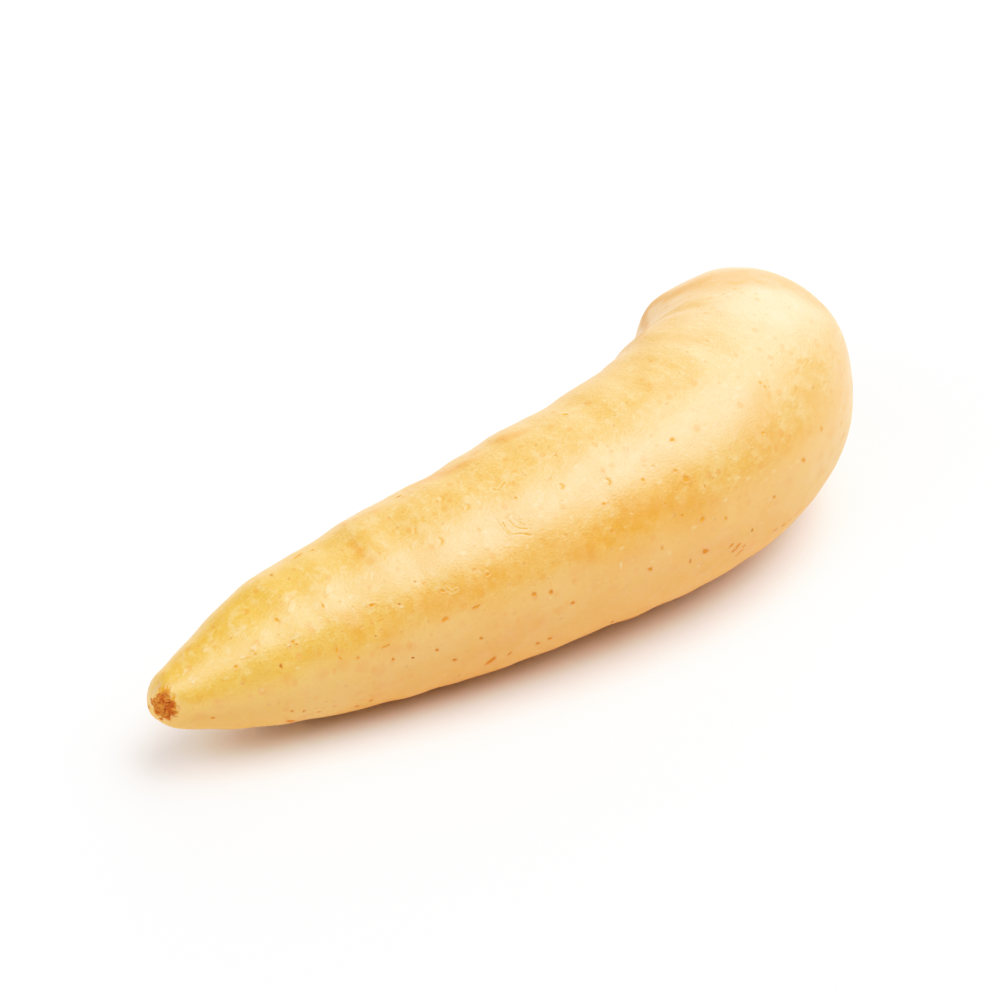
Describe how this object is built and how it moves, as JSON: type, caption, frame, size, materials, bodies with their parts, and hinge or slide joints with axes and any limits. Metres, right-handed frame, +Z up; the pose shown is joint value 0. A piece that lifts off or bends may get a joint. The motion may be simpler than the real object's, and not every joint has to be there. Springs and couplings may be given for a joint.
{
  "type": "arracacha root",
  "caption": "Tapered, bent storage root lying on its side, with a thick rounded crown end, a corky scar where it left the plant and a thin broken tip.",
  "frame": {"origin": "on the surface that the root rests on, under the middle of its box", "axes": "+X runs from the thin tip towards the thick crown end, +Y is the inner side of the bend, +Z is up"},
  "size_m": [0.195, 0.0738, 0.0542],
  "materials": {
    "skin": "satin"
  },
  "bodies": {
    "root": {"root": "skin"}
  },
  "joints": []
}
